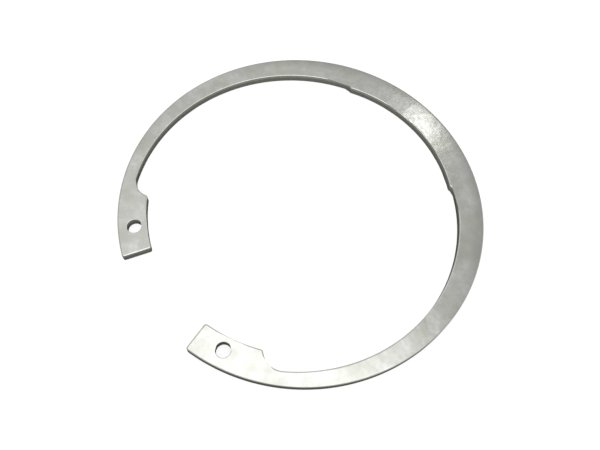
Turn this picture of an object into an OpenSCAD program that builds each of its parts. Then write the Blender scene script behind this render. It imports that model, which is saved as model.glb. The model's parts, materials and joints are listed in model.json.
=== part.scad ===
// Internal retaining ring (circlip) at rest, before it is squeezed into its bore.
// The ring lies flat with its axis on Z and the middle of its thickness at z = 0.
// The gap between the two lugs faces -Y and the widest part of the beam is on +Y.
// The half with positive x is built, and its mirror image gives the other half.

/* [Ring] */
// Outside diameter at rest
free_d = 158; // [130:1:190]
// Thickness of the strip that the ring is blanked from
thick = 4; // [2.5:0.1:6]

/* [Beam] */
// Radial width that the tapered beam has opposite the gap
beam_back_w = 11.6; // [9:0.1:13]
// Radial width that the same taper would reach at the middle of the gap
beam_gap_w = 4.4; // [3:0.1:6]

/* [Pad] */
// Radial width of the pad at its middle, opposite the gap
pad_w = 12.1; // [11:0.1:14]
// Height of the step at each end of the pad
pad_rise = 1.35; // [0.8:0.05:2]
// Angle that the pad covers, from step to step
pad_span = 61; // [40:1:90]
// Radius of the hollow at the foot of each step
step_hollow_r = 5; // [3:0.5:8]
// Radius of the rounded crest of each step
step_crest_r = 1; // [0.6:0.1:2]

/* [Lugs] */
// Radial width of each lug
lug_w = 12; // [10:0.1:15]
// Length of each lug along its inner edge
lug_len = 24.8; // [20:0.1:32]
// Open width between the inner corners of the two lugs
gap_w = 39.6; // [25:0.1:55]
// Radius of the hollow between lug and beam
shoulder_hollow_r = 8.3; // [5:0.1:11]
// Radius of the rounded crest where that hollow meets the lug
shoulder_crest_r = 1.2; // [0.8:0.1:2]
// Radius of the two corners at the end of each lug
corner_r = 0.9; // [0.7:0.1:2]

/* [Plier holes] */
// Diameter of the hole in each lug
hole_d = 6; // [4:0.1:7]
// Distance from the outer rim to the middle of the hole
hole_inset = 6.8; // [5.5:0.1:7.5]
// Distance from the end of the lug to the middle of the hole
hole_setback = 12; // [7:0.1:14]

/* [Edges] */
// Size of the rolled edge around the upper face
roll_top = 0.5; // [0.1:0.05:0.6]
// Size of the broken edge around the lower face
roll_bottom = 0.25; // [0.1:0.05:0.6]

/* [Hidden] */
$fa = 2;
$fs = 0.3;

// Reach of the cutters past both faces and past the outline
over = 1;
cut_h = thick + 2 * over;
// Width that is cleared outside a crest, and the angle it laps each neighbour
band = 2;
lap = 4;
// Depth by which neighbouring arcs cross, so that no two faces only touch
overrun = 0.03;
// Radius of a rolled edge, as a multiple of its size
edge_ratio = 1.3;

// Circles that carry the outline
origin = [0, 0];
right = [1, 0];
rim_r = free_d / 2;
lug_r = rim_r - lug_w;
beam_r = rim_r - (beam_back_w + beam_gap_w) / 2;
beam_c = [0, -(beam_back_w - beam_gap_w) / 2];

// The end face of the lug lies on a radius of the ring
end_a = -90 + asin(gap_w / 2 / lug_r);
lug_back = polar(lug_r, end_a + deg(lug_len / lug_r));

// Hollow that meets the beam's inner edge and runs through the back of the lug
shoulder_c = meet(beam_c, beam_r - shoulder_hollow_r + overrun, lug_back, shoulder_hollow_r);
shoulder_crest_c = meet(shoulder_c, shoulder_hollow_r + shoulder_crest_r - overrun,
                        origin, lug_r + shoulder_crest_r - overrun);

// Pad: an arc through its middle and the crests of its two steps
pad_end_a = 90 - pad_span / 2;
pad_mid_y = rim_r - pad_w;
pad_end = polar(reach(beam_c, beam_r, pad_end_a) - pad_rise, pad_end_a);
pad_c = [0, (norm(pad_end) ^ 2 - pad_mid_y ^ 2) / (2 * (pad_end.y - pad_mid_y))];
pad_r = pad_mid_y - pad_c.y;
step_crest_c = pad_c + (pad_r + step_crest_r - overrun) * unit(pad_end - pad_c);
step_hollow_c = meet(step_crest_c, step_hollow_r + step_crest_r - overrun,
                     beam_c, beam_r - step_hollow_r + overrun);

// Corners at the end of the lug
corner_in = corner_r - overrun;
inner_corner_c = polar(lug_r + corner_in, end_a + asin(corner_in / (lug_r + corner_in)));
outer_corner_c = polar(rim_r - corner_in, end_a + asin(corner_in / (rim_r - corner_in)));

// Middle of the plier hole
hole_r = rim_r - hole_inset;
hole_c = polar(hole_r, end_a + deg(hole_setback / hole_r));

function deg(radians) = radians * 180 / PI;
function polar(r, a) = r * [cos(a), sin(a)];
function unit(v) = v / norm(v);
function heading(v) = atan2(v.y, v.x);

// Angle turned anticlockwise from direction a to direction b
function swing(a, b) = (heading(b) - heading(a) + 360) % 360;

// Distance from the origin, at angle a, to a circle around c
function reach(c, r, a) =
    let (u = [cos(a), sin(a)], along = c * u)
    along + sqrt(along ^ 2 - c * c + r ^ 2);

// Point where two circles meet, on the left of the line from the first middle to the second
function meet(c1, r1, c2, r2) =
    let (d = norm(c2 - c1), u = (c2 - c1) / d, along = (d ^ 2 + r1 ^ 2 - r2 ^ 2) / (2 * d))
    c1 + along * u + sqrt(r1 ^ 2 - along ^ 2) * [-u.y, u.x];

// Corner of a section, cut away by an arc that curves into it from both faces
module rolled_corner(size) {
    arc_r = edge_ratio * size;
    shift = (sqrt(arc_r ^ 2 - size ^ 2 / 2) - size / sqrt(2)) / sqrt(2);
    difference() {
        translate([0, -size]) square([size, size + over]);
        translate([size + shift, -size - shift]) circle(arc_r);
    }
}

// Both edges of a wall at x = 0, with the material on the side of positive x
module rolled_edges() {
    translate([0, thick / 2]) rolled_corner(roll_top);
    mirror([0, 1]) translate([0, thick / 2]) rolled_corner(roll_bottom);
}

// Kite with one corner at c, which holds an arc of radius r from direction a to direction b
module kite(c, r, a, b) {
    half = swing(a, b) / 2;
    polygon([
        c,
        c + polar(r, heading(a)),
        c + polar(r / cos(half), heading(a) + half),
        c + polar(r, heading(b)),
    ]);
}

// Part of a hollow of radius r, anticlockwise from direction a to direction b
module hollow(c, r, a, b) {
    intersection() {
        translate(c) circle(r);
        kite(c, r + over, a, b);
    }
}

// Band outside a crest of radius r, which laps its neighbours on both sides
module crest(c, r, a, b) {
    difference() {
        kite(c, r + band, polar(1, heading(a) - lap), polar(1, heading(b) + lap));
        translate(c) circle(r);
    }
}

// Opening inside the right half, from its lug to the crest of its step
module half_inside() {
    hollow(origin, lug_r, [0, -1], right);
    crest(shoulder_crest_c, shoulder_crest_r, shoulder_c - shoulder_crest_c, -shoulder_crest_c);
    translate(shoulder_c) circle(shoulder_hollow_r);
    hollow(beam_c, beam_r, shoulder_c - beam_c, step_hollow_c - beam_c);
    translate(step_hollow_c) circle(step_hollow_r);
    crest(step_crest_c, step_crest_r, pad_c - step_crest_c, step_hollow_c - step_crest_c);
    polygon([
        [0, -lug_r / 2],
        shoulder_c,
        [beam_r / 2, 0],
        step_hollow_c,
        step_crest_c + (step_crest_r + band / 2) * unit(pad_c - step_crest_c),
        [0, pad_mid_y / 2],
    ]);
}

// Right half of the gap, with the end and the two corners of its lug
module half_gap() {
    out_of_lug = polar(1, end_a - 90);
    polygon([[0, 0], polar(free_d, end_a), [0, -free_d]]);
    crest(inner_corner_c, corner_r, -inner_corner_c, out_of_lug);
    crest(outer_corner_c, corner_r, out_of_lug, outer_corner_c);
}

// Everything that is open inside the rim, seen from above
module opening() {
    to_step = step_crest_c - pad_c;
    hollow(pad_c, pad_r, to_step, [-to_step.x, to_step.y]);
    for (side = [0, 1]) mirror([side, 0]) {
        half_inside();
        half_gap();
    }
}

// Round blank with a rolled rim
module blank() {
    rotate_extrude() difference() {
        translate([0, -thick / 2]) square([rim_r, thick]);
        translate([rim_r, 0]) mirror([1, 0]) rolled_edges();
    }
}

// Rolled edges of a plier hole
module hole_edges() {
    translate([hole_c.x, hole_c.y, 0]) rotate_extrude() {
        translate([hole_d / 2, 0]) rolled_edges();
        translate([0, -cut_h / 2]) square([hole_d / 2, cut_h]);
    }
}

module retaining_ring() {
    color("#b4b4ae")
    difference() {
        blank();
        linear_extrude(cut_h, center = true) opening();
        for (side = [0, 1]) mirror([side, 0, 0]) hole_edges();
    }
}

retaining_ring();
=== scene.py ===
# %% [markdown]
# # An internal retaining ring
# The object is a circlip for a groove in a bore: one flat piece of spring steel, blanked from strip,
# hardened and tumbled. It has a beam that tapers towards its ends, a thicker pad opposite the gap,
# and a lug with a plier hole at each end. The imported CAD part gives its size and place, and this
# script gives it the edges and the finish that a press tool and a tumbling drum leave.

# %% Load the part
import json
import math

import bpy
import bmesh
from mathutils import Matrix, Vector, noise
from mathutils.geometry import delaunay_2d_cdt


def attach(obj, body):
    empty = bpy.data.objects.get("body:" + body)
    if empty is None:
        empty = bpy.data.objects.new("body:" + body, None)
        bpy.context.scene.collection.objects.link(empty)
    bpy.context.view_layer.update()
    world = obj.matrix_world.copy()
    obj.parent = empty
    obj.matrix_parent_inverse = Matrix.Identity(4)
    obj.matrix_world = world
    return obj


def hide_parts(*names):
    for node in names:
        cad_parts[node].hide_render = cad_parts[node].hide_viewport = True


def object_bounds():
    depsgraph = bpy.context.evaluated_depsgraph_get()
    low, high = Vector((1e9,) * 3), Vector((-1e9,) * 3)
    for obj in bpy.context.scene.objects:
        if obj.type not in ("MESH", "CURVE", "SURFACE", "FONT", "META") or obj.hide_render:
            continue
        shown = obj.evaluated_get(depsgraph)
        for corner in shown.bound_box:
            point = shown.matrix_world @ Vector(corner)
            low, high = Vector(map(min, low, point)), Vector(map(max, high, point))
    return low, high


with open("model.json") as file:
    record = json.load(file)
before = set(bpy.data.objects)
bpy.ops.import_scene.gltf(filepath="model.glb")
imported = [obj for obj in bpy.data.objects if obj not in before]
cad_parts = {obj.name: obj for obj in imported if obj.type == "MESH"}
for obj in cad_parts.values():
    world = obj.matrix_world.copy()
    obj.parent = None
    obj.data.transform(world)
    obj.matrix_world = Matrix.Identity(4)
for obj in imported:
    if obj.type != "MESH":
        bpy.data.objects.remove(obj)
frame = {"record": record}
cad_low, cad_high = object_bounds()
NODE = "retaining_ring"
MM = 0.001
print("CAD box in mm:", [round(v / MM, 2) for v in (*cad_low, *cad_high)])

# %% [markdown]
# ## The camera
# The view is fixed first, because it settles how much detail is worth making. The photographer
# stood close, with a wide lens, so the near lug looks larger than the far one. A long lens farther
# off could frame the same ring, but without this perspective. The camera is described here as a
# photographer would: the point it looks at, its distance and direction, and its tilt.
#
# The ring fills the picture evenly on all sides, as it does when a picture is cropped round its
# subject, and the perspective agrees: the lens pointed a little above the picture's middle. Turning
# the camera would change the perspective. Its vertical shift only slides the picture, so that is used.

# %% Camera
# The picture's width, the lens, and how far the lens pointed above the picture's middle, in pixels
IMAGE_WIDTH_PX = 600
FOCAL_PX = 611.1
AXIS_RAISED_PX = 47.6
SENSOR_MM = 36.0
LOOK_AT = Vector((-10.29, 6.66, 0.0)) * MM
DISTANCE = 273.9 * MM
AZIMUTH = math.radians(46.66)
ELEVATION = math.radians(59.84)
ROLL = math.radians(5.80)
NEAREST_SEEN = 10.0 * MM


def make_camera():
    """Puts a camera on a sphere round the point it looks at, and turns it about its own axis."""
    back = Vector((
        math.sin(AZIMUTH) * math.cos(ELEVATION),
        -math.cos(AZIMUTH) * math.cos(ELEVATION),
        math.sin(ELEVATION),
    ))
    data = bpy.data.cameras.new("camera")
    data.sensor_width = SENSOR_MM
    data.lens = SENSOR_MM * FOCAL_PX / IMAGE_WIDTH_PX
    data.shift_y = -AXIS_RAISED_PX / IMAGE_WIDTH_PX
    data.clip_start = NEAREST_SEEN
    camera = bpy.data.objects.new("camera", data)
    bpy.context.scene.collection.objects.link(camera)
    turn = (-back).to_track_quat("-Z", "Y").to_matrix().to_4x4()
    place = Matrix.Translation(LOOK_AT + DISTANCE * back)
    camera.matrix_world = place @ turn @ Matrix.Rotation(ROLL, 4, "Z")
    bpy.context.scene.camera = camera
    return camera


camera = make_camera()
print("camera lens in mm:", round(camera.data.lens, 2))

# %% [markdown]
# ## The outline
# A retaining ring is drawn with arcs only: each one touches the next without a kink, because a
# spring breaks where its outline has a corner. A traced curve would lose that, so the outline is
# worked out the way a draughtsman does it, from circles that touch. Each arc is kept as its centre,
# its radius and the angles where it starts and ends. The right half is drawn, and the left half is
# its mirror image.

# %% Sizes in millimetres
# The rim, the plier holes and the thickness come from the CAD part, and the rest is what a drawing
# of the ring would give
record = frame["record"]
mounts = {m["name"]: m for m in record["mounts"]}
RIM_R = mounts["groove_rim"]["dims"]["r_mm"]
HOLE_R = mounts["plier_hole_right"]["dims"]["r_mm"]
HOLE_C = Vector(mounts["plier_hole_right"]["pos_m"][:2]) / MM
TOP = cad_high.z / MM
BOTTOM = cad_low.z / MM
BEAM_BACK_W = 11.6
BEAM_GAP_W = 4.4
PAD_W = 12.1
PAD_RISE = 1.35
PAD_SPAN = math.radians(61.0)
STEP_HOLLOW_R = 5.0
STEP_CREST_R = 1.0
LUG_W = 12.0
LUG_LENGTH = 24.8
GAP_W = 39.6
SHOULDER_HOLLOW_R = 8.3
SHOULDER_CREST_R = 1.2
CORNER_R = 0.9
print("outside diameter", round(2 * RIM_R, 2), "thickness", round(TOP - BOTTOM, 2))

# %% [markdown]
# ## Circles that touch
# Two arcs run into each other without a kink where their circles touch. The middles of the two
# circles are then as far apart as their radii together, where a crest meets a hollow, or as the
# difference of the radii, where a tight hollow runs into a wide one. So the middle of each small
# circle is the point where two helping circles meet, just as with compasses on paper.

# %% Circles that touch


def polar(radius, angle):
    """Point at this distance and in this direction from the middle."""
    return radius * Vector((math.cos(angle), math.sin(angle)))


def heading(v):
    """Direction of a vector as an angle."""
    return math.atan2(v.y, v.x)


def meet(c1, r1, c2, r2):
    """Point where two circles meet, on the left of the line from c1 to c2."""
    u = (c2 - c1).normalized()
    d = (c2 - c1).length
    along = (d * d + r1 * r1 - r2 * r2) / (2 * d)
    return c1 + along * u + math.sqrt(r1 * r1 - along * along) * Vector((-u.y, u.x))


origin = Vector((0.0, 0.0))
lug_r = RIM_R - LUG_W
beam_r = RIM_R - (BEAM_BACK_W + BEAM_GAP_W) / 2
beam_c = Vector((0.0, -(BEAM_BACK_W - BEAM_GAP_W) / 2))
end_a = math.asin(GAP_W / 2 / lug_r) - math.pi / 2
lug_back = polar(lug_r, end_a + LUG_LENGTH / lug_r)
shoulder_c = meet(beam_c, beam_r - SHOULDER_HOLLOW_R, lug_back, SHOULDER_HOLLOW_R)
shoulder_crest_c = meet(
    shoulder_c, SHOULDER_HOLLOW_R + SHOULDER_CREST_R, origin, lug_r + SHOULDER_CREST_R)

pad_end_a = math.pi / 2 - PAD_SPAN / 2
pad_dir = polar(1.0, pad_end_a)
to_beam = pad_dir.dot(beam_c) + math.sqrt(pad_dir.dot(beam_c) ** 2 - beam_c.dot(beam_c) + beam_r ** 2)
pad_end = (to_beam - PAD_RISE) * pad_dir
pad_mid_y = RIM_R - PAD_W
pad_c = Vector((0.0, (pad_end.dot(pad_end) - pad_mid_y ** 2) / (2 * (pad_end.y - pad_mid_y))))
pad_r = pad_mid_y - pad_c.y
step_crest_c = pad_c + (pad_r + STEP_CREST_R) * (pad_end - pad_c).normalized()
step_hollow_c = meet(step_crest_c, STEP_HOLLOW_R + STEP_CREST_R, beam_c, beam_r - STEP_HOLLOW_R)

inner_corner_c = polar(lug_r + CORNER_R, end_a + math.asin(CORNER_R / (lug_r + CORNER_R)))
outer_corner_c = polar(RIM_R - CORNER_R, end_a + math.asin(CORNER_R / (RIM_R - CORNER_R)))
print("beam inner radius", beam_r, "pad inner radius", round(pad_r, 2))

# %% [markdown]
# ## Walking along arcs and lines
# The mesh needs points along the outline, and at each point the direction that leads away from the
# steel. Arcs give both for nothing: the direction is the radius itself, outwards on a crest and
# inwards on a hollow. The walk keeps the steel on its right, so a crest is walked clockwise and a
# hollow anticlockwise. Points lie closer together on a tight arc than on a wide one, so that every
# arc looks equally round, and no step is so long that the edge can't show its small unevenness.

# %% Steps along arcs and lines
# Distance by which a step may miss its arc, and the longest step, in millimetres
ROUNDNESS = 0.002
LONGEST_STEP = 0.8
TURN = 2 * math.pi
CREST, HOLLOW = -1, 1


def walk_arc(centre, radius, start, end, sense):
    """Points and outward directions along an arc, clockwise on a crest, the other way in a hollow."""
    sweep = (sense * (end - start)) % TURN or TURN
    step = min(LONGEST_STEP / radius, 2 * math.sqrt(2 * ROUNDNESS / radius))
    count = max(2, math.ceil(sweep / step))
    angles = [start + sense * sweep * i / count for i in range(count + 1)]
    return [(centre + polar(radius, a), -sense * polar(1.0, a)) for a in angles]


def walk_line(start, end, outward):
    """Points along a straight line, which all have the same outward direction."""
    count = max(1, math.ceil((end - start).length / LONGEST_STEP))
    return [(start.lerp(end, i / count), outward) for i in range(count + 1)]


def join(*runs):
    """Runs laid end to end, each without the first point where it repeats the last one."""
    path = list(runs[0])
    for run in runs[1:]:
        path += run[1:]
    return path


print("points round a plier hole:", len(walk_arc(origin, HOLE_R, 0.0, TURN, HOLLOW)) - 1)

# %% [markdown]
# ## The outline of the whole ring
# The arcs now follow one another: from the top of the rim down to a lug, round the lug's two corners
# and its end face, along the lug and over its shoulder, then back along the beam and over the step to
# the middle of the pad. The mirrored half is walked the other way, which closes the path. A Mirror
# modifier would do the same for a whole mesh, but the uneven edge should differ from side to side.

# %% Outline of the ring
out_of_lug_a = end_a - math.pi / 2
out_of_lug = polar(1.0, out_of_lug_a)
rim = walk_arc(origin, RIM_R, math.pi / 2, heading(outer_corner_c), CREST)
outer_corner = walk_arc(outer_corner_c, CORNER_R, heading(outer_corner_c), out_of_lug_a, CREST)
inner_corner = walk_arc(inner_corner_c, CORNER_R, out_of_lug_a, heading(-inner_corner_c), CREST)
end_face = walk_line(outer_corner[-1][0], inner_corner[0][0], out_of_lug)
lug_edge = walk_arc(origin, lug_r, heading(inner_corner_c), heading(shoulder_crest_c), HOLLOW)
shoulder_crest = walk_arc(
    shoulder_crest_c, SHOULDER_CREST_R,
    heading(-shoulder_crest_c), heading(shoulder_c - shoulder_crest_c), CREST)
shoulder_hollow = walk_arc(
    shoulder_c, SHOULDER_HOLLOW_R,
    heading(shoulder_crest_c - shoulder_c), heading(shoulder_c - beam_c), HOLLOW)
beam = walk_arc(beam_c, beam_r, heading(shoulder_c - beam_c), heading(step_hollow_c - beam_c), HOLLOW)
step_hollow = walk_arc(
    step_hollow_c, STEP_HOLLOW_R,
    heading(step_hollow_c - beam_c), heading(step_crest_c - step_hollow_c), HOLLOW)
step_crest = walk_arc(
    step_crest_c, STEP_CREST_R,
    heading(step_hollow_c - step_crest_c), heading(pad_c - step_crest_c), CREST)
pad = walk_arc(pad_c, pad_r, heading(step_crest_c - pad_c), math.pi / 2, HOLLOW)

right_half = join(rim, outer_corner, end_face, inner_corner, lug_edge, shoulder_crest,
                  shoulder_hollow, beam, step_hollow, step_crest, pad)
left_half = [(Vector((-p.x, p.y)), Vector((-n.x, n.y))) for p, n in reversed(right_half)]
outline = right_half + left_half[1:-1]
hole_middles = [Vector((side * HOLE_C.x, HOLE_C.y)) for side in (1, -1)]
holes = [walk_arc(middle, HOLE_R, 0.0, TURN, HOLLOW)[:-1] for middle in hole_middles]
print("points round the ring:", len(outline))

# %% [markdown]
# ## The section of a blanked edge
# A punch doesn't leave a square edge. Where it enters, the steel is drawn down into a soft roll
# before it shears. Where it leaves, there is a burr, which the tumbling drum knocks off. A Bevel
# modifier would give both edges the same neat round, so the section is written out instead: a small
# break at the lower face, a straight wall, and a wider, flatter roll at the upper face. Each of the
# two curves is a quarter of an ellipse. The wall's dark film reaches a little way over the steep
# start of the roll, so the first steps of the roll count as wall.

# %% Section of the edge
# How far the roll and the break reach in over the face and down the wall, in millimetres
ROLL_W, ROLL_H = 0.78, 0.26
BREAK_W, BREAK_H = 0.24, 0.22
# Steps in each stretch of the section, and the number of the roll's steps that the film covers
ROLL_STEPS, BREAK_STEPS, WALL_STEPS = 8, 4, 5
FILM_STEPS = 3


def section():
    """Steps from the lower face to the upper, each as its inset from the outline and its height."""
    quarter = math.pi / 2
    low = [i / BREAK_STEPS * quarter for i in range(BREAK_STEPS + 1)]
    high = [i / ROLL_STEPS * quarter for i in range(ROLL_STEPS + 1)]
    rows = [(BREAK_W * (1 - math.sin(a)), BOTTOM + BREAK_H * (1 - math.cos(a))) for a in low]
    wall_low, wall_high = BOTTOM + BREAK_H, TOP - ROLL_H
    rows += [(0.0, wall_low + (wall_high - wall_low) * i / WALL_STEPS) for i in range(1, WALL_STEPS)]
    rows += [(ROLL_W * (1 - math.cos(a)), wall_high + ROLL_H * math.sin(a)) for a in high]
    return rows


rows = section()
last_wall_row = BREAK_STEPS + WALL_STEPS + FILM_STEPS
print("rows in the section:", len(rows))

# %% [markdown]
# ## The ring's walls
# A wall is a grid: one column for each point of the outline, one row for each step of the section.
# The outline gets one such wall and each plier hole another, with a narrower roll.
#
# The edge is never quite even. The gap between punch and die differs a little from one side to the
# other, so the roll is widest at one end of the pad and narrowest across from it. Noise that runs
# along the edge makes it a little wider here and narrower there as well.

# %% Walls of the ring
# The share by which the roll is wider on one side than on average, and the direction of that side
LEAN_SHARE = 0.15
WIDEST_AT = math.radians(118.0)
# The share by which it is uneven along the edge, and the length of that unevenness in millimetres
UNEVEN_SHARE = 0.08
UNEVEN_LENGTH = 7.0
HOLE_ROLL_SHARE = 0.4
FACE, WALL = 0, 1


def unevenness(p):
    """Width of the roll at a point, as a multiple of its usual width."""
    lean = LEAN_SHARE * math.cos(heading(p) - WIDEST_AT)
    return 1.0 + lean + UNEVEN_SHARE * noise.noise(Vector((p.x, p.y, 0.0)) / UNEVEN_LENGTH)


def add_wall(mesh, path, roll_share):
    """One closed wall with both of its rolled edges. Returns its lowest and highest row of corners."""
    grid = []
    for inset, height in rows:
        ring = []
        for p, outward in path:
            q = p - outward * inset * roll_share * unevenness(p)
            ring.append(mesh.verts.new((q.x * MM, q.y * MM, height * MM)))
        grid.append(ring)
    for k in range(len(grid) - 1):
        for i in range(len(path)):
            j = (i + 1) % len(path)
            face = mesh.faces.new((grid[k][j], grid[k][i], grid[k + 1][i], grid[k + 1][j]))
            face.material_index = WALL if k < last_wall_row else FACE
            face.smooth = True
    return grid[0], grid[-1]


widths = [ROLL_W * unevenness(p) for p, _ in outline]
print("roll from", round(min(widths), 2), "to", round(max(widths), 2), "mm wide")

# %% [markdown]
# ## The ring's faces
# The two flat faces have holes in them, which a grid can't have. A constrained triangulation fills
# them as one would fill a paper pattern: it joins all the corners with triangles and keeps to the
# given edges. It also fills the ring's opening and its holes, so each triangle is tested by its
# middle. A ray from a point in the steel crosses the outline an odd number of times.

# %% Faces of the ring
# The triangulation fills the hull of all corners, and takes corners this close, in mm, for one
FILL_HULL = 0
SAME_CORNER = 1e-6


def crossings(path, point):
    """How often a ray to the right of the point crosses a closed path."""
    count = 0
    for (a, _), (b, _) in zip(path, path[1:] + path[:1]):
        if (a.y > point.y) != (b.y > point.y):
            count += point.x < a.x + (point.y - a.y) * (b.x - a.x) / (b.y - a.y)
    return count


def in_steel(point):
    """Whether a point seen from above lies in the ring."""
    in_hole = any((point - middle).length < HOLE_R for middle in hole_middles)
    return crossings(outline, point) % 2 == 1 and not in_hole


def fill_face(mesh, loops, upwards):
    """Flat face between the outline and the holes."""
    corners = [v for loop in loops for v in loop]
    edges, start = [], 0
    for loop in loops:
        edges += [(start + i, start + (i + 1) % len(loop)) for i in range(len(loop))]
        start += len(loop)
    flat = [v.co.xy / MM for v in corners]
    points, _, triangles, sources, _, _ = delaunay_2d_cdt(flat, edges, [], FILL_HULL, SAME_CORNER)
    for triangle in triangles:
        middle = sum((points[i] for i in triangle), Vector((0.0, 0.0))) / len(triangle)
        if not in_steel(middle):
            continue
        face = mesh.faces.new([corners[sources[i][0]] for i in triangle])
        face.normal_update()
        if (face.normal.z > 0) != upwards:
            face.normal_flip()
        face.material_index = FACE
        face.smooth = True


print("steel in the middle of the pad:", in_steel(Vector((0.0, RIM_R - PAD_W / 2))))
print("steel on the ring's axis:", in_steel(origin))

# %% [markdown]
# ## The whole ring
# Walls and faces share their corners, so the mesh is closed: every edge has two faces. The count of
# edges that don't is printed, and so is the volume, which stays close to that of the CAD part.

# %% Build the ring


def build_ring():
    """The closed mesh of the ring, with its walls, its plier holes and its two faces."""
    mesh = bmesh.new()
    ends = [add_wall(mesh, outline, 1.0)] + [add_wall(mesh, path, HOLE_ROLL_SHARE) for path in holes]
    fill_face(mesh, [low for low, _ in ends], upwards=False)
    fill_face(mesh, [high for _, high in ends], upwards=True)
    mesh.normal_update()
    open_edges = sum(1 for e in mesh.edges if len(e.link_faces) != 2)
    data = bpy.data.meshes.new("ring")
    mesh.to_mesh(data)
    volume = mesh.calc_volume() / MM ** 3
    mesh.free()
    print("ring: faces", len(data.polygons), "open edges", open_edges, "volume in mm3", round(volume))
    piece = bpy.data.objects.new("ring", data)
    bpy.context.scene.collection.objects.link(piece)
    return piece


ring = build_ring()

# %% [markdown]
# ## Shading the flat faces flat
# The faces are flat and the rolls are round, and they share their corners. Blender's smooth shading
# would let the roll's tilt bleed into the face. The Weighted Normal modifier gives the large faces
# the say at each corner, so the face stays flat right up to the roll.

# %% Weighted normals
weigh = ring.modifiers.new("face weight", "WEIGHTED_NORMAL")
weigh.mode = "FACE_AREA"
weigh.weight = 100
print("modifiers:", [m.name for m in ring.modifiers])

# %% [markdown]
# ## Helpers for materials
# A material is a small graph. One function adds a node with its settings and links, and another
# turns the hex colours of a paint card into the linear values that a renderer works in. Every
# pattern is sized by the millimetres of the real thing, because "scale 40" says nothing to a reader
# and goes wrong as soon as the model's size changes.

# %% Node, colour and scale helpers


def linear(hex_code):
    """An sRGB colour such as "#B4B4AE" in linear values, with alpha."""
    parts = [int(hex_code[i:i + 2], 16) / 255 for i in (1, 3, 5)]
    return [c / 12.92 if c <= 0.04045 else ((c + 0.055) / 1.055) ** 2.4 for c in parts] + [1.0]


def add(tree, kind, inputs, **settings):
    """Adds a node. An input is a value, or the output socket that it is linked to."""
    node = tree.nodes.new("ShaderNode" + kind)
    for name, value in settings.items():
        setattr(node, name, value)
    for name, value in inputs.items():
        if isinstance(value, bpy.types.NodeSocket):
            tree.links.new(value, node.inputs[name])
        else:
            node.inputs[name].default_value = value
    return node


def grain(size_mm):
    """Scale at which a noise texture in metres has features of about this size."""
    return 1.0 / (size_mm * MM)


def new_material(name):
    """An empty material and its graph."""
    material = bpy.data.materials.new(name)
    material.use_nodes = True
    material.node_tree.nodes.clear()
    return material, material.node_tree


print("noise scale of a 4 mm pattern:", grain(4.0))

# %% [markdown]
# ## Tumbled spring steel
# The faces of the ring are rolled strip, hardened, tempered and then tumbled with stones, which
# leaves a satin grey. Steel is a metal, so metallic is 1 and the colour is the colour of its
# reflections. A picture of steel could be wrapped over the face, but it would bring its own light
# along. Patterns of noise in the ring's own space carry no light and fit any outline.
#
# The finest marks come first: short scratches in two directions. Each is noise that is stretched
# along the mark, and only its highest spots show.

# %% Scratches
# A real scratch is a few hundredths of a millimetre wide. That is too fine to show in the picture,
# so it is drawn coarser.
SCRATCH_WIDTH_MM = 0.35
SCRATCH_STRETCH = 16.0
# The noise at which a mark starts to show and at which it is full
SCRATCH_FROM, SCRATCH_FULL = 0.62, 0.72
# Directions of the two sets of marks, in radians
SCRATCH_ANGLES = (0.4, 1.9)


def one_way_scratches(tree, coords, angle):
    """Short marks in one direction: noise that is stretched along the mark."""
    turned = add(tree, "Mapping", {
        "Vector": coords,
        "Rotation": (0.0, 0.0, angle),
        "Scale": (1.0 / SCRATCH_STRETCH, 1.0, 1.0),
    })
    noise_node = add(tree, "TexNoise", {
        "Vector": turned.outputs[0],
        "Scale": grain(SCRATCH_WIDTH_MM),
        "Detail": 1.0,
    })
    lines = add(tree, "MapRange", {
        "Value": noise_node.outputs[0],
        "From Min": SCRATCH_FROM,
        "From Max": SCRATCH_FULL,
    })
    return lines.outputs[0]


def scratches(tree, coords):
    """Both sets of marks, laid over each other."""
    first, second = [one_way_scratches(tree, coords, angle) for angle in SCRATCH_ANGLES]
    return add(tree, "Math", {0: first, 1: second}, operation="MAXIMUM").outputs[0]


print("scratches in mm:", SCRATCH_WIDTH_MM, "wide and about", SCRATCH_WIDTH_MM * SCRATCH_STRETCH, "long")

# %% [markdown]
# ## Clouds, patches, mottle and grit
# The stones rub at several scales: soft clouds about a centimetre wide, where they rubbed more or
# less, patches of a few millimetres that break up every highlight, a finer mottle, and grit. One
# noise with many octaves would tie the strength of each scale to the next. Four noises keep them
# free. Real grit is finer than a pixel of the picture, so it is drawn as wide as one.

# %% Patterns of the face
# Width of each pattern on the real face, apart from the grit
CLOUD_MM = 11.0
PATCH_MM = 4.0
MOTTLE_MM = 1.7
GRIT_MM = 0.45


def tumbled_patterns(tree, coords):
    """Noise at each of the four scales, and the scratches, by name."""
    scales = {
        "clouds": (CLOUD_MM, 3.0),
        "patches": (PATCH_MM, 1.0),
        "mottle": (MOTTLE_MM, 1.0),
        "grit": (GRIT_MM, 2.0),
    }
    patterns = {"scratches": scratches(tree, coords)}
    for name, (size_mm, detail) in scales.items():
        settings = {"Vector": coords, "Scale": grain(size_mm), "Detail": detail}
        patterns[name] = add(tree, "TexNoise", settings).outputs[0]
    return patterns


print("patterns in mm:", CLOUD_MM, PATCH_MM, MOTTLE_MM, GRIT_MM)

# %% [markdown]
# ## Painted shade at the margin, and the rubbed edge
# Two places differ from the rest of the face. The outer margin behind the pad is painted a darker
# grey, which fades out towards the lugs: this is painted shade, for the darker reflection on the far
# outer band. The distance to the ring's axis tells where the margin is. And the stones reach an edge
# best, so a rolled edge is more even than the face; its brighter grey is partly that rubbing and
# partly a painted highlight along the roll. The tilt of the surface tells where the edge is: the
# upright part of the normal is 1 on the flat faces and falls away over the roll. So neither has to be
# drawn on the mesh.

# %% Painted shade at the margin, and the rubbed edge with its painted highlight
# Width of the margin's painted shade, and its strength where it is fullest
MARGIN_MM = 5.0
MARGIN_SHARE = 0.62
# Places, as shares of the rim's radius towards the pad, where the margin starts and is fullest
MARGIN_FROM, MARGIN_FULL = 0.15, 0.6
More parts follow.
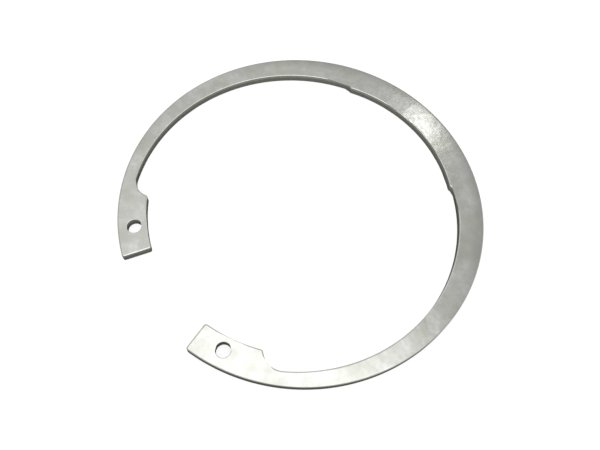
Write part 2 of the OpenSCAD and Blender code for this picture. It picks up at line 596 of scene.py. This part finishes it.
# Upright part of the normal at which the rubbed edge, with its painted highlight, starts and is fullest
EDGE_FROM, EDGE_FULL = 0.99, 0.9


def painted_shade_behind_pad(tree, coords):
    """Painted shade: 0 inside the margin's inner border, more towards the rim, most of all behind the pad."""
    towards_pad = add(tree, "SeparateXYZ", {0: coords}).outputs[1]
    strongest = add(tree, "MapRange", {
        "Value": towards_pad,
        "From Min": MARGIN_FROM * RIM_R * MM,
        "From Max": MARGIN_FULL * RIM_R * MM,
        "To Max": MARGIN_SHARE,
    }).outputs[0]
    across = add(tree, "VectorMath", {0: coords, 1: (1.0, 1.0, 0.0)}, operation="MULTIPLY").outputs[0]
    from_axis = add(tree, "VectorMath", {0: across}, operation="LENGTH").outputs["Value"]
    return add(tree, "MapRange", {
        "Value": from_axis,
        "From Min": (RIM_R - MARGIN_MM) * MM,
        "From Max": RIM_R * MM,
        "To Max": strongest,
    }).outputs[0]


def rubbed_edge_and_sheen(tree):
    """0 on the flat faces and 1 on the steep part of the roll: rubbing, and a painted highlight in the
    colour.
    """
    normal = add(tree, "NewGeometry", {}).outputs["Normal"]
    upright = add(tree, "SeparateXYZ", {0: normal}).outputs[2]
    flatness = add(tree, "Math", {0: upright}, operation="ABSOLUTE").outputs[0]
    return add(tree, "MapRange", {
        "Value": flatness, "From Min": EDGE_FROM, "From Max": EDGE_FULL,
    }).outputs[0]


print("margin in mm from the axis:", RIM_R - MARGIN_MM, "to", RIM_R)

# %% [markdown]
# ## Colour of the face
# The colour is built in layers, from the widest pattern to the finest. Each lays one grey over those
# before it, as strongly as its pattern says. The greys lie close together, because on real steel one
# sees the patterns and not the single greys. Last, over all the rest, come the margin's painted shade
# and the edge's brighter grey, which is partly rubbing and partly a painted highlight.

# %% Colour of the face
CLOUD_GREY = "#A1A199"
# Each layer's pattern, the noise at which it starts and is fullest, its strength and its grey
FACE_LAYERS = (
    ("clouds", 0.35, 0.65, 1.0, "#B1B2AF"),
    ("patches", 0.42, 0.62, 0.4, "#93948C"),
    ("mottle", 0.38, 0.62, 0.35, "#9E9F9B"),
)
# The margin's grey is painted shade: it stands in for the darker reflection on the far outer band.
MARGIN_SHADE_GREY = "#7C7D78"
# The edge's grey is partly the stones' rubbing and partly a painted highlight along the roll.
EDGE_SHEEN_GREY = "#B4B4AE"


def tumbled_colour(tree, patterns, margin, edge):
    """Greys of the face, laid over one another, with painted shade at the margin and a partly painted
    highlight on the edge.
    """
    layers = []
    for name, start, full, strength, grey in FACE_LAYERS:
        share = add(tree, "MapRange", {
            "Value": patterns[name], "From Min": start, "From Max": full, "To Max": strength,
        }).outputs[0]
        layers.append((share, grey))
    layers += [(margin, MARGIN_SHADE_GREY), (edge, EDGE_SHEEN_GREY)]
    colour = linear(CLOUD_GREY)
    for share, grey in layers:
        colour = add(tree, "Mix", {0: share, 6: colour, 7: linear(grey)}, data_type="RGBA").outputs[2]
    return colour


print("greys of the face:", CLOUD_GREY, [layer[-1] for layer in FACE_LAYERS], MARGIN_SHADE_GREY, EDGE_SHEEN_GREY)

# %% [markdown]
# ## The finished face
# On metal, most of what one sees is how the surface scatters light, so the patterns go into the
# roughness and the bump as well. A bump in the shader is enough, because marks this shallow never
# show in the outline. It is faint: on a surface as smooth as this one, a tilt of half a degree
# already moves a reflection.

# %% Face of the ring
# Roughness between the smoothest and the dullest spots, its change in a scratch, and the edge's own
SMOOTHEST, DULLEST = 0.15, 0.21
SCRATCH_CHANGE = -0.03
EDGE_ROUGHNESS = 0.22
# Height of the clouds, and the height of the other patterns as multiples of it
RELIEF_MM = 0.018
RELIEF_SHARES = {"patches": 3.0, "mottle": 0.2, "grit": 0.005, "scratches": -0.006}


def tumbled_roughness(tree, patterns, edge):
    """Satin that follows the mottle, smoother in the scratches and even on the edge."""
    satin = add(tree, "MapRange", {
        "Value": patterns["mottle"], "To Min": SMOOTHEST, "To Max": DULLEST,
    }).outputs[0]
    scratched = add(tree, "Math", {
        0: patterns["scratches"], 1: SCRATCH_CHANGE, 2: satin,
    }, operation="MULTIPLY_ADD").outputs[0]
    return add(tree, "Mix", {0: edge, 2: scratched, 3: EDGE_ROUGHNESS}, data_type="FLOAT").outputs[0]


def tumbled_relief(tree, patterns):
    """Bump in which each pattern has its own height."""
    heights = patterns["clouds"]
    for name, share in RELIEF_SHARES.items():
        terms = {0: patterns[name], 1: share, 2: heights}
        heights = add(tree, "Math", terms, operation="MULTIPLY_ADD").outputs[0]
    return add(tree, "Bump", {"Height": heights, "Distance": RELIEF_MM * MM, "Strength": 1.0}).outputs[0]


def tumbled_spring_steel():
    """Satin and cloudy grey, short scratches, painted shade at the margin, slightly brighter edges (partly
    painted highlight).
    """
    material, tree = new_material("tumbled spring steel")
    coords = add(tree, "TexCoord", {}).outputs["Object"]
    patterns = tumbled_patterns(tree, coords)
    edge = rubbed_edge_and_sheen(tree)
    steel = add(tree, "BsdfPrincipled", {
        "Base Color": tumbled_colour(tree, patterns, painted_shade_behind_pad(tree, coords), edge),
        "Roughness": tumbled_roughness(tree, patterns, edge),
        "Metallic": 1.0,
        "Normal": tumbled_relief(tree, patterns),
    }).outputs[0]
    add(tree, "OutputMaterial", {"Surface": steel})
    return material


ring.data.materials.append(tumbled_spring_steel())
print("face of the ring:", ring.data.materials[FACE].name)

# %% [markdown]
# ## The blanked wall
# The wall is where the steel was sheared. The punch first cuts it cleanly and burnishes it, then the
# rest breaks. The break is rough and holds the dark film of the hardening oil, so the wall is much
# darker than the faces. Faint streaks run in the direction of the punch. Real ones are finer than a
# pixel of the picture, so they are drawn as wide as one.
#
# The border between the cut and the break wanders up and down. It could be an edge of the mesh, but
# then it would need far more corners. Here the height of a spot plus a little noise decides.

# %% Border between cut and break
# The share of the thickness that was cut cleanly, how far its border wanders, and how soft it is
LAND_SHARE = 0.3
BORDER_WANDER_MM = 0.5
BORDER_SOFT_MM = 0.15


def clean_land(tree, coords, blotches):
    """1 on the land that was cut cleanly under the roll, and 0 on the break below it."""
    height = add(tree, "SeparateXYZ", {0: coords}).outputs[2]
    wander = add(tree, "Math", {
        0: blotches, 1: 2 * BORDER_WANDER_MM * MM, 2: height,
    }, operation="MULTIPLY_ADD").outputs[0]
    border_mm = TOP - ROLL_H - LAND_SHARE * (TOP - BOTTOM) + BORDER_WANDER_MM
    return add(tree, "MapRange", {
        "Value": wander,
        "From Min": (border_mm - BORDER_SOFT_MM) * MM,
        "From Max": (border_mm + BORDER_SOFT_MM) * MM,
    }).outputs[0]


print("clean cut in mm below the roll:", round(LAND_SHARE * (TOP - BOTTOM), 2))

# %% [markdown]
# ## Colour of the wall
# Steel under a film of oil is still mostly metal, so metallic stays high, with a rough, dark grey. A
# clean metal turns into a mirror at a glancing angle, but a rough wall under an oil film stays dark
# there. For a metal, the shader's specular tint sets that glancing colour, so it is a dark grey.

# %% Wall of the ring
STREAK_MM = 0.5
STREAK_STRETCH = 9.0
BLOTCH_MM = 3.0
DARK_FILM, THIN_FILM = "#5C5E57", "#7C7E76"
LAND_GREY = "#83857D"
GLANCING_GREY = "#404040"
BREAK_ROUGHNESS, LAND_ROUGHNESS = 0.55, 0.4
OILED_METALLIC = 0.8
# Height of the streaks, and that of the blotches as a multiple of it
WALL_RELIEF_MM = 0.05
BLOTCH_RELIEF_SHARE = 0.5


def blanked_wall():
    """Dark, rough and oil-blacked below, with a smoother land just under the rolled edge."""
    material, tree = new_material("blanked wall")
    coords = add(tree, "TexCoord", {}).outputs["Object"]
    upright = add(tree, "Mapping", {"Vector": coords, "Scale": (1.0, 1.0, 1.0 / STREAK_STRETCH)}).outputs[0]
    streaks = add(tree, "TexNoise", {"Vector": upright, "Scale": grain(STREAK_MM), "Detail": 2.0}).outputs[0]
    blotches = add(tree, "TexNoise", {"Vector": coords, "Scale": grain(BLOTCH_MM), "Detail": 3.0}).outputs[0]
    land = clean_land(tree, coords, blotches)

    film = add(tree, "Mix", {
        0: streaks, 6: linear(DARK_FILM), 7: linear(THIN_FILM),
    }, data_type="RGBA").outputs[2]
    colour = add(tree, "Mix", {0: land, 6: film, 7: linear(LAND_GREY)}, data_type="RGBA").outputs[2]
    rough = add(tree, "Mix", {0: land, 2: BREAK_ROUGHNESS, 3: LAND_ROUGHNESS}, data_type="FLOAT").outputs[0]
    heights = add(tree, "Math", {
        0: blotches, 1: BLOTCH_RELIEF_SHARE, 2: streaks,
    }, operation="MULTIPLY_ADD").outputs[0]
    bump = add(tree, "Bump", {"Height": heights, "Distance": WALL_RELIEF_MM * MM, "Strength": 1.0}).outputs[0]
    steel = add(tree, "BsdfPrincipled", {
        "Base Color": colour,
        "Roughness": rough,
        "Metallic": OILED_METALLIC,
        "Specular Tint": linear(GLANCING_GREY),
        "Normal": bump,
    }).outputs[0]
    add(tree, "OutputMaterial", {"Surface": steel})
    return material


ring.data.materials.append(blanked_wall())
print("wall of the ring:", ring.data.materials[WALL].name)

# %% [markdown]
# ## The place of the ring in the frame
# The mesh stands for the CAD node, which stays as the collision shape, and moves with its body.

# %% Tie the ring to the CAD part
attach(ring, "root")
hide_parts(NODE)
print(ring.name, "stands for", NODE)

# %% [markdown]
# ## Floor and background
# The ring lies on a white table that burns out to white. That white comes from the floor's own
# colour and a little emission that only the camera and reflections see, not from strong lamps, which
# would burn out the steel too. Part of it is still ordinary lit grey, so the ring keeps a faint
# shadow under its edges. From below the table is clear, so that the ring's lower face can be looked
# at, and a hair's gap keeps the two apart.

# %% White floor
# The table is far larger than the picture shows, and a hair's breadth below the ring
FLOOR_SIZE_MM = 3000.0
FLOOR_GAP_MM = 0.03
TABLE_GREY = "#8A8A8A"
TABLE_GLOW = 0.84
WHITE = linear("#FFFFFF")


def seen_directly(tree):
    """1 for rays from the camera and for the rays that metal or glass sends on."""
    path = add(tree, "LightPath", {})
    seen = path.outputs["Is Camera Ray"]
    for kind in ("Is Glossy Ray", "Is Transmission Ray"):
        seen = add(tree, "Math", {0: seen, 1: path.outputs[kind]}, operation="MAXIMUM").outputs[0]
    return seen


def white_table():
    """Lit grey plus a glow, which add up to white, and clear from below."""
    material, tree = new_material("white table")
    lit = add(tree, "BsdfDiffuse", {"Color": linear(TABLE_GREY)}).outputs[0]
    glow = add(tree, "Emission", {"Color": WHITE, "Strength": TABLE_GLOW}).outputs[0]
    burnt_out = add(tree, "AddShader", {0: lit, 1: glow}).outputs[0]
    top = add(tree, "MixShader", {0: seen_directly(tree), 1: lit, 2: burnt_out}).outputs[0]
    clear = add(tree, "BsdfTransparent", {}).outputs[0]
    from_below = add(tree, "NewGeometry", {}).outputs["Backfacing"]
    shader = add(tree, "MixShader", {0: from_below, 1: top, 2: clear}).outputs[0]
    add(tree, "OutputMaterial", {"Surface": shader})
    return material


def make_floor():
    """A square that the ring lies on, which isn't part of the object."""
    half = FLOOR_SIZE_MM / 2 * MM
    data = bpy.data.meshes.new("floor")
    corners = [(-half, -half), (half, -half), (half, half), (-half, half)]
    level = (BOTTOM - FLOOR_GAP_MM) * MM
    data.from_pydata([(x, y, level) for x, y in corners], [], [(0, 1, 2, 3)])
    data.materials.append(white_table())
    floor = bpy.data.objects.new("floor", data)
    bpy.context.scene.collection.objects.link(floor)
    return floor


print("white floor at mm:", round(make_floor().data.vertices[0].co.z / MM, 2))

# %% [markdown]
# ## The room
# The room round the table is plain white, for the camera and in the steel, and that is why the ring
# is grey all over and nowhere black. As a light it is a little dimmer, which leaves more of the work
# to the lamps, so that the ring keeps its shadow.

# %% White room
ROOM_LIGHT = 0.75


def make_room():
    """White where it is seen, and dimmer where it lights the table."""
    world = bpy.data.worlds.new("white room")
    bpy.context.scene.world = world
    world.use_nodes = True
    tree = world.node_tree
    tree.nodes.clear()
    seen = seen_directly(tree)
    strength = add(tree, "Mix", {0: seen, 2: ROOM_LIGHT, 3: 1.0}, data_type="FLOAT").outputs[0]
    sky = add(tree, "Background", {"Color": WHITE, "Strength": strength}).outputs[0]
    add(tree, "OutputWorld", {"Surface": sky})


make_room()
# The Standard view shows each colour as it is written
bpy.context.scene.view_settings.view_transform = "Standard"
print("view:", bpy.context.scene.view_settings.view_transform)

# %% [markdown]
# ## Light
# A flat, satin metal shows whatever lies in the mirror direction of each spot. The camera looks down
# steeply, so the near half of the ring mirrors the ceiling right above it, and the far half mirrors
# the wall behind. A large soft box overhead therefore makes the near half nearly white and leaves
# the far half a plain grey. It also lights the far inner edge, where the roll leans towards it.
#
# Its light has to fade towards its border, which one lamp of even brightness can't do. So two boxes
# of different size hang there, and the light falls away in two steps. They hang at different heights,
# because a reflected ray that meets two lamps at the same distance counts only one of them. A pair
# on the left lifts the left lug in the same way. A small lamp behind the ring makes the one highlight
# on the far side, and the patches of the steel break its outline.

# %% Lamps
# Watts from each square metre of a lamp at a brightness of 1
LAMP_POWER = 4.0


def soft_box(name, middle_mm, size_mm, brightness, aim_mm=None):
    """Area lamp as bright as asked whatever its size. It hangs level unless it is aimed at a point."""
    data = bpy.data.lights.new(name, "AREA")
    data.shape = "RECTANGLE"
    data.size = size_mm[0] * MM
    data.size_y = size_mm[1] * MM
    data.energy = brightness * LAMP_POWER * data.size * data.size_y
    lamp = bpy.data.objects.new(name, data)
    bpy.context.scene.collection.objects.link(lamp)
    middle = Vector(middle_mm)
    aim = Vector(aim_mm) if aim_mm else Vector((middle.x, middle.y, 0.0))
    turn = (middle - aim).to_track_quat("Z", "Y").to_matrix().to_4x4()
    lamp.matrix_world = Matrix.Translation(middle * MM) @ turn
    print("soft box", name, "size in mm", size_mm, "brightness", brightness)


soft_box("overhead", middle_mm=(23.0, 5.0, 600.0), size_mm=(500.0, 460.0), brightness=0.66)
soft_box("overhead core", middle_mm=(23.0, -37.0, 580.0), size_mm=(480.0, 364.0), brightness=0.66)
soft_box("left", middle_mm=(-445.0, 120.0, 600.0), size_mm=(410.0, 620.0), brightness=0.14)
soft_box("left core", middle_mm=(-340.0, -55.0, 580.0), size_mm=(200.0, 270.0), brightness=0.28)
soft_box("behind", middle_mm=(-214.0, 462.0, 600.0), size_mm=(34.0, 60.0), brightness=5.0,
         aim_mm=(0.0, 60.0, 0.0))
